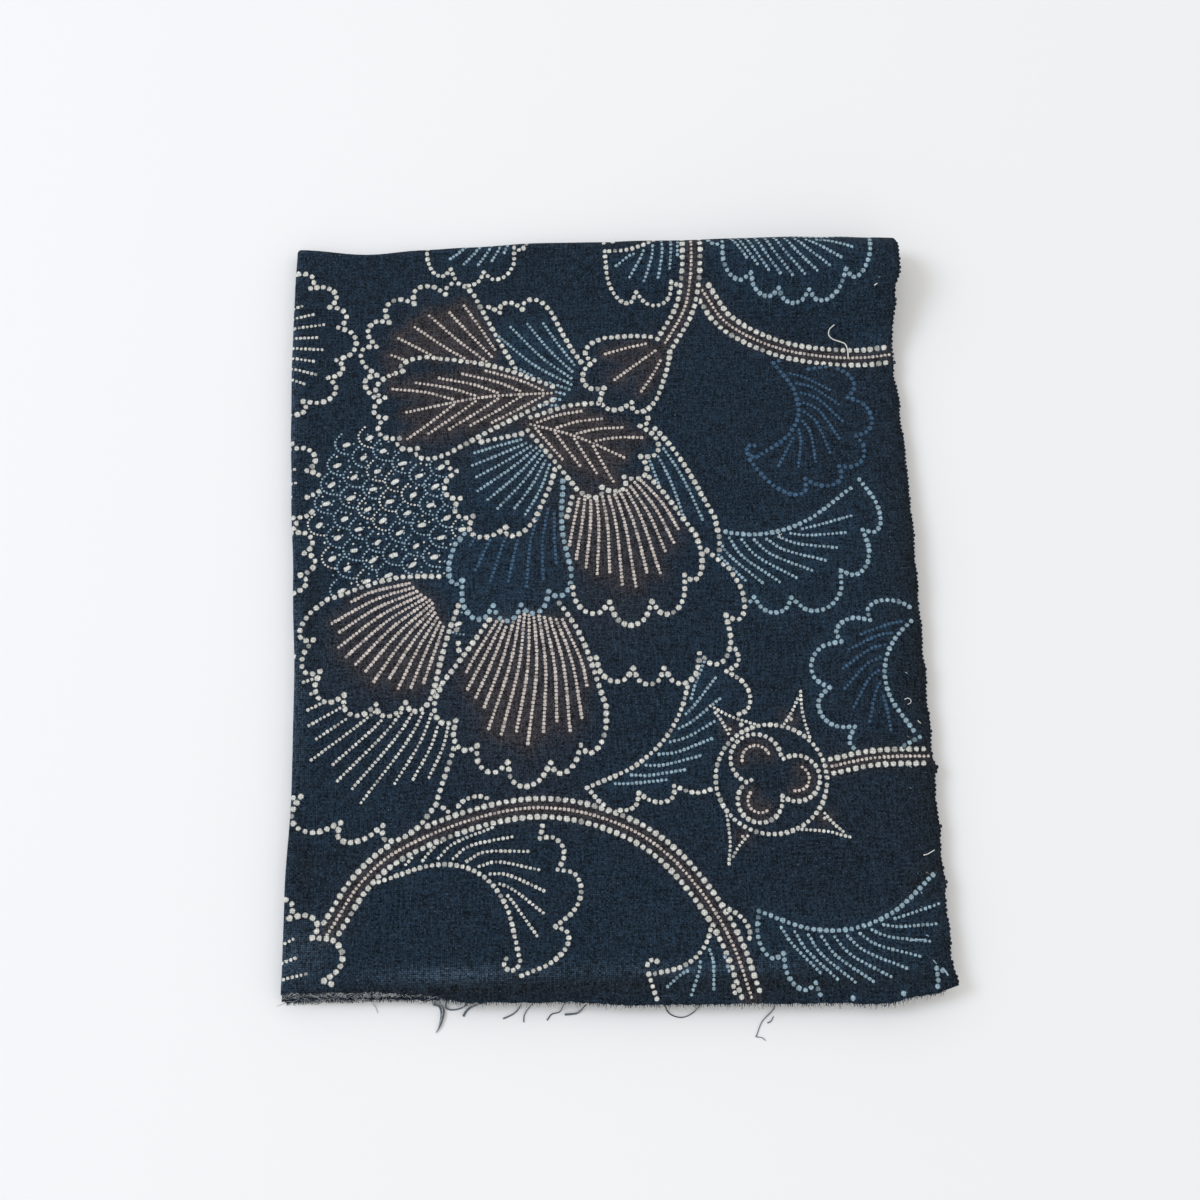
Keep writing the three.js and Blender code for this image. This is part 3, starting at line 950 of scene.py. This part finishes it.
dot_read = node(cotton, "ShaderNodeAttribute", attribute_name="dot_place")
dot_axes = node(cotton, "ShaderNodeSeparateXYZ", {0: dot_read.outputs["Vector"]})
squared = maths(cotton, "ADD", maths(cotton, "POWER", maths(cotton, "ABSOLUTE", dot_axes.outputs[0]), 2.4),
                maths(cotton, "POWER", maths(cotton, "ABSOLUTE", dot_axes.outputs[1]), 2.4))
edge_noise = node(cotton, "ShaderNodeTexNoise", {"Vector": flat_place, "Scale": 1200.0, "Detail": 2.0})
ragged_edge = maths(cotton, "ADD", squared, maths(cotton, "MULTIPLY", edge_noise.outputs[0], 2.0))
ragged_edge = maths(cotton, "SUBTRACT", ragged_edge, maths(cotton, "MULTIPLY", yarn_height, 0.25))
dot_mask = node(cotton, "ShaderNodeMapRange", {0: ragged_edge, 1: 2.15, 2: 1.4, 3: 0.0, 4: 1.0}).outputs[0]
dot_paint = node(cotton, "ShaderNodeAttribute", attribute_name="dot_colour")
dot_mask = maths(cotton, "MULTIPLY", dot_mask, dot_paint.outputs["Alpha"])
dot_mask = maths(cotton, "MULTIPLY", dot_mask, group_in.outputs["Dots"])
# The dots get the same painted shade between the yarns, more weakly.
dot_shade = maths(cotton, "ADD", maths(cotton, "MULTIPLY", shade, 0.35), 0.62)
dot_tone = node(cotton, "ShaderNodeCombineXYZ", {0: dot_shade, 1: dot_shade, 2: dot_shade}).outputs[0]
dots_shaded = mixed(1.0, dot_paint.outputs["Color"], dot_tone, "MULTIPLY")
cotton.links.new(mixed(dot_mask, ground, dots_shaded), group_out.inputs["Colour"])
cotton.links.new(yarn_height, group_out.inputs["Height"])


def cotton_material(name, ground_colour, dots_shown):
    """A material of the dyed cotton."""
    made, tree, shader = material(name, 0.92)
    shader.inputs["Sheen Weight"].default_value = 0.02
    shader.inputs["Sheen Roughness"].default_value = 0.6
    shader.inputs["Specular IOR Level"].default_value = 0.08
    group = node(tree, "ShaderNodeGroup", node_tree=cotton)
    group.inputs["Ground"].default_value = ground_colour
    group.inputs["Dots"].default_value = dots_shown
    bump = node(tree, "ShaderNodeBump", {"Height": group.outputs["Height"], "Strength": 0.7,
                                         "Distance": 0.2 * MM})
    tree.links.new(group.outputs["Colour"], shader.inputs["Base Color"])
    tree.links.new(bump.outputs[0], shader.inputs["Normal"])
    return made


cloth_mesh.materials.append(cotton_material("indigo_cotton_face", srgb(28, 42, 56), 1.0))
cloth_mesh.materials.append(cotton_material("indigo_cotton_reverse", srgb(30, 40, 52), 0.35))
cloth_mesh.materials.append(cotton_material("indigo_cotton_edge", srgb(52, 62, 74), 0.0))
cloth = bpy.data.objects.new("katazome_cloth", cloth_mesh)
bpy.context.scene.collection.objects.link(cloth)
thickness = cloth.modifiers.new("thickness", "SOLIDIFY")
thickness.thickness = THICKNESS * MM
thickness.offset = 0
thickness.material_offset = 1
thickness.material_offset_rim = 2

# Yarn ends and loose threads. All four raw ends are cut, not hemmed, so each warp yarn ends in a short dark
# stub and a few undyed fibres. A strand is a thin closed tube along a few points.


def strand_piece(name, strands, sides=3):
    """One mesh of many strands. A strand is its points, its first and last radius, and its colour."""
    vertices = []
    faces = []
    colours = []
    for path, first_radius, last_radius, colour in strands:
        path = np.array(path, dtype=float)
        ahead = np.gradient(path, axis=0)
        ahead /= np.linalg.norm(ahead, axis=1)[:, None] + 1e-9
        beside = np.cross(ahead, (0.13, 0.21, 1.0))
        beside /= np.linalg.norm(beside, axis=1)[:, None] + 1e-9
        above = np.cross(beside, ahead)
        base = len(vertices)
        count = len(path)
        for i in range(count):
            radius = first_radius + (last_radius - first_radius) * i / (count - 1)
            for side in range(sides):
                angle = 2 * math.pi * side / sides
                offset = beside[i] * math.cos(angle) + above[i] * math.sin(angle)
                vertices.append((path[i] + offset * radius) * MM)
                colours.extend(colour)
        for i in range(count - 1):
            for side in range(sides):
                corner = base + i * sides + side
                after = base + i * sides + (side + 1) % sides
                faces.append((corner, after, after + sides, corner + sides))
        faces.append(tuple(base + side for side in reversed(range(sides))))
        faces.append(tuple(base + (count - 1) * sides + side for side in range(sides)))
    mesh = bpy.data.meshes.new(name)
    mesh.from_pydata(vertices, [], faces)
    mesh.polygons.foreach_set("use_smooth", [True] * len(faces))
    mesh.attributes.new("yarn_colour", "FLOAT_COLOR", "POINT")
    mesh.attributes["yarn_colour"].data.foreach_set("color", colours)
    mesh.materials.append(yarn_material)
    piece = bpy.data.objects.new(name, mesh)
    bpy.context.scene.collection.objects.link(piece)
    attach(piece, "root")
    return piece


yarn_material, yarn_tree, yarn_shader = material("cotton_yarn", 0.95)
yarn_shader.inputs["Specular IOR Level"].default_value = 0.1
yarn_read = node(yarn_tree, "ShaderNodeAttribute", attribute_name="yarn_colour")
yarn_object_place = node(yarn_tree, "ShaderNodeTexCoord").outputs["Object"]
yarn_noise = node(yarn_tree, "ShaderNodeTexNoise", {
    "Vector": yarn_object_place, "Scale": 2500.0, "Detail": 2.0})
yarn_shade = maths(yarn_tree, "ADD", maths(yarn_tree, "MULTIPLY", yarn_noise.outputs[0], 0.8), 0.6)
yarn_grey = node(yarn_tree, "ShaderNodeCombineXYZ", {
    0: yarn_shade, 1: yarn_shade, 2: yarn_shade}).outputs[0]
yarn_mix = node(yarn_tree, "ShaderNodeMix", {0: 1.0, 6: yarn_read.outputs["Color"], 7: yarn_grey},
                data_type="RGBA", blend_type="MULTIPLY")
yarn_tree.links.new(yarn_mix.outputs[2], yarn_shader.inputs["Base Color"])

DARK_YARN = srgb(40, 50, 62)
GREY_YARN = srgb(92, 102, 112)
PALE_FIBRE = srgb(176, 180, 182)
WHITE_FIBRE = srgb(206, 206, 202)


def raw_end(lower, inner, step):
    """Places on a layer's raw end, and the direction that its yarns run out in."""
    low, high = (-250, -88.5) if inner else (-83.5, 83)
    across = np.arange(low, high, step)
    across = across + rng.uniform(-0.2, 0.2, len(across)) * step
    along = raw_end_along(across, lower)
    outward = 1 if lower else -1
    inside_place = np.array(lying(across, along - 0.35 * outward)).T
    end_place = np.array(lying(across, along)).T
    direction = end_place - inside_place
    direction /= np.linalg.norm(direction, axis=1)[:, None]
    kept = on_cloth(across, along - 0.5 * outward, 0.2)
    return inside_place[kept], direction[kept]


fray = []
for lower, inner in ((False, False), (False, True), (True, True), (True, False)):
    top_layer = not lower and not inner
    for place, direction in zip(*raw_end(lower, inner, 0.6)):
        length = rng.uniform(0.45, 1.15)
        sway = rng.uniform(-0.3, 0.3)
        path = [place + direction * length * t + np.array([sway * t * t, 0, -0.25 * t * t])
                for t in (0, 0.5, 1)]
        for point in path:
            point[2] = max(point[2], 0.2)
        fray.append((path, 0.2, 0.1, DARK_YARN if rng.random() < 0.75 else GREY_YARN))
    for place, direction in zip(*raw_end(lower, inner, 0.34 if top_layer else 0.42)):
        left = place[0] < -42
        length = rng.uniform(0.4, 1.3) if left else rng.uniform(0.6, 1.9)
        spread = rng.normal(0, 1.6) if left else rng.uniform(-0.55, 0.55)
        path = []
        for t in (0, 0.35, 0.7, 1):
            drift_away = np.array([spread * t ** 1.5 * length, 0, 0.12 - 0.4 * t * t])
            point = place + direction * length * t + drift_away
            point[2] = max(point[2], 0.1)
            path.append(point)
        colour = PALE_FIBRE if rng.random() < 0.7 else WHITE_FIBRE
        if rng.random() < 0.4:
            colour = GREY_YARN
        fray.append((path, 0.075, 0.03, colour))
# A small clump of teased fibres, and the grey fuzz where the lower layers show at the left: place, size
# both ways, height, and how many fibres.
TEASED = ((11.5, -106.2, 4.5, 0.9, 2.6, 70), (-64, -102.2, 22, 1.1, 4.0, 420))
for x, y, spread_x, spread_y, z, count in TEASED:
    for _ in range(count):
        start = np.array([x + rng.normal(0, spread_x * 0.5), y + rng.normal(0, spread_y * 0.5), z])
        if start[0] < -84:
            continue
        angle = rng.normal(0, 0.7) + math.pi * rng.integers(2)
        length = rng.uniform(0.5, 2.0)
        bend = rng.uniform(-0.9, 0.9)
        path = []
        for t in (0, 0.35, 0.7, 1):
            heading = angle + bend * t
            path.append(start + np.array([
                math.cos(heading) * length * t, 0.6 * math.sin(heading) * length * t, 0.15 * math.sin(3 * t)]))
        fray.append((path, 0.06, 0.03, PALE_FIBRE if rng.random() < 0.6 else GREY_YARN))
raw_fray = strand_piece("raw_end_fray", fray)

# Loose threads that have come out of the raw ends and lie on the table.
LOOSE_THREADS = [
    ("-61.6,-103.2,1.2 -61.4,-104.6,0.4 -61,-105.1,0.2 -60.4,-106.6,0.15", 0.13, PALE_FIBRE),
    ("-43,-104.4,1.2 -43,-105.9,0.4 -41,-106.3,0.25 -38.6,-105.6,0.3 -37.8,-104.4,1.0", 0.22, GREY_YARN),
    ("-38.8,-108,0.25 -38.1,-106.8,0.3 -36.6,-105.7,0.5 -32.7,-104.4,1.2", 0.3, GREY_YARN),
    ("-28.7,-108.8,0.15 -26.3,-107.8,0.2 -24.7,-106.4,0.3 -23.9,-104.8,1.2", 0.2, GREY_YARN),
    ("-23.5,-109.8,0.15 -23.4,-108.2,0.2 -22.5,-106.7,0.3 -20.9,-105,1.2", 0.14, DARK_YARN),
    ("-17.6,-109.5,0.15 -16.4,-108,0.2 -14.4,-107.5,0.25 -13.2,-105.6,1.2", 0.16, DARK_YARN),
    ("-13.1,-108.2,0.25 -11.3,-108.1,0.3 -9.7,-107.8,0.35 -7.7,-106,1.2", 0.28, GREY_YARN),
    ("12.1,-105.6,1.4 12.6,-107.4,0.4 13.6,-108.8,0.2 15.6,-109.6,0.2 17.5,-109.5,0.2 19.6,-108.4,0.3"
     " 21.6,-106.4,1.4", 0.16, DARK_YARN),
    ("40.1,-105.9,1.4 40.1,-107.7,0.4 39.2,-108.9,0.3 36.7,-111.3,0.2 35.2,-114.6,0.2 35,-114.9,0.2"
     " 36.5,-115.2,0.2 37.4,-115.9,0.2", 0.14, GREY_YARN),
    ("38.1,-111.6,0.15 39,-111.2,0.2 39.7,-110,0.2", 0.16, GREY_YARN),
    ("62.9,-106.6,1.6 62.9,-107.6,0.5 63,-108.6,0.2", 0.16, DARK_YARN),
]


def thread_path(text):
    """Close places along a written thread."""
    places = [tuple(float(number) for number in word.split(",")) for word in text.split()]
    if len(places) == 2:
        return np.array(places)
    return smooth_path(places)[::3]


loose = [(thread_path(text), radius, radius * 0.6, colour) for text, radius, colour in LOOSE_THREADS]
# a thicker tuft of several yarns
TUFT = ("-46.2,-103.6,1.2 -46,-104.9,0.7 -44.6,-105.3,0.6 -44,-106.7,0.6 -44.2,-108.6,0.6 -44.8,-110.5,0.5"
        " -45.7,-111.9,0.3")
TUFT_YARNS = 9
for number in range(TUFT_YARNS):
    path = thread_path(TUFT)
    share = np.linspace(0, 1, len(path))
    swell = 0.45 * np.sin(math.pi * np.clip(share * 0.9 + 0.1, 0, 1)) ** 0.7
    turn = 2 * math.pi * number / TUFT_YARNS + 3 * share
    path = path + np.stack([swell * np.cos(turn), swell * 0.3 * np.cos(turn), 0.5 * swell * np.sin(turn)],
                           axis=1)
    loose.append((path, 0.17, 0.06, GREY_YARN if number % 3 else PALE_FIBRE))
loose_threads = strand_piece("loose_threads", loose, sides=5)

# On the face: a curl of white thread, and what is left of old stitches along the selvedge.
SURFACE_THREADS = [
    ("69.9,68.6 69.9,70.8 69.3,72.8 67.5,73.7 65.9,74.3 64.8,75.5 65,77 66.4,78.2", 0.2, "cream"),
    ("47.4,17.6 47.8,16.8 48,15.8", 0.12, "cream"), ("47.8,16.8 48.5,17.3", 0.1, "cream"),
    ("77.6,87.8 78.5,88.3", 0.2, "white"), ("78.9,89.9 79.4,90", 0.1, "pale"),
    ("79,-22.2 79.6,-22.6", 0.12, "pale"),
    ("78.3,-29.6 79.2,-29.3 79.9,-29.8 79.8,-30.6 79,-31", 0.12, "cream"),
    ("81.3,-35.4 82.1,-36.2", 0.12, "cream"), ("78.2,-39.5 78.8,-39.9", 0.12, "dim"),
    ("78.2,-47.5 78.8,-47.9", 0.14, "pale"), ("77.8,-53.1 78.3,-53.5", 0.12, "dim"),
    ("80,-70.9 81.2,-70.6 83,-69.6", 0.15, "white"), ("80.2,-75.3 80.9,-75.7", 0.12, "dim"),
    ("78.5,-80.3 78.9,-80.8", 0.14, "pale"), ("78.2,-83.9 78.7,-84.3", 0.12, "dim"),
    ("79,-91.2 79.7,-91.6", 0.13, "pale"), ("74.7,-92.6 76.4,-92.4 78.3,-92.4", 0.22, "pale"),
    ("80.2,-97.6 81,-98.6", 0.14, "pale"), ("82.4,-99.8 83.2,-100.8 83.6,-101.6", 0.26, "pale"),
]
surface = []
for text, radius, colour in SURFACE_THREADS:
    flat_path = thread_path(text)[:, :2]
    x, y, z = lying(flat_path[:, 0], flat_path[:, 1], THICKNESS / 2 + radius * 0.7)
    surface.append((np.stack([x, y, z + 0.08], axis=1), radius, radius * 0.8, DOT_COLOURS[colour]))
surface_threads = strand_piece("thread_remains", surface, sides=5)

# The selvedges: at each edge the weft yarn turns back into the cloth, which leaves a row of small dark
# bumps. The sheet is declared last, because its fray, threads and turns belong to it.
SELVEDGE_TURN_PITCH = 1.2
turns = []
for inner in (False, True):
    outward = -1 if inner else 1
    places = np.arange(-103, 310, SELVEDGE_TURN_PITCH)
    edge = selvedge_across(places, inner)
    kept = on_cloth(edge - 1.0 * outward, places, 0.5)
    for at, edge_at in zip(places[kept], edge[kept]):
        reach = rng.uniform(0.05, 0.28)
        steps = ((-0.6, -0.3), (reach * 0.6, -0.25), (reach, 0), (reach * 0.6, 0.25), (-0.6, 0.3))
        across = np.array([edge_at + step * outward for step, _ in steps])
        along = np.array([at + shift for _, shift in steps])
        turns.append((np.stack(lying(across, along), axis=1), 0.27, 0.27, DARK_YARN))
selvedge_turns = strand_piece("selvedge_turns", turns, sides=4)

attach(cloth, "root")
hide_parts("cloth")
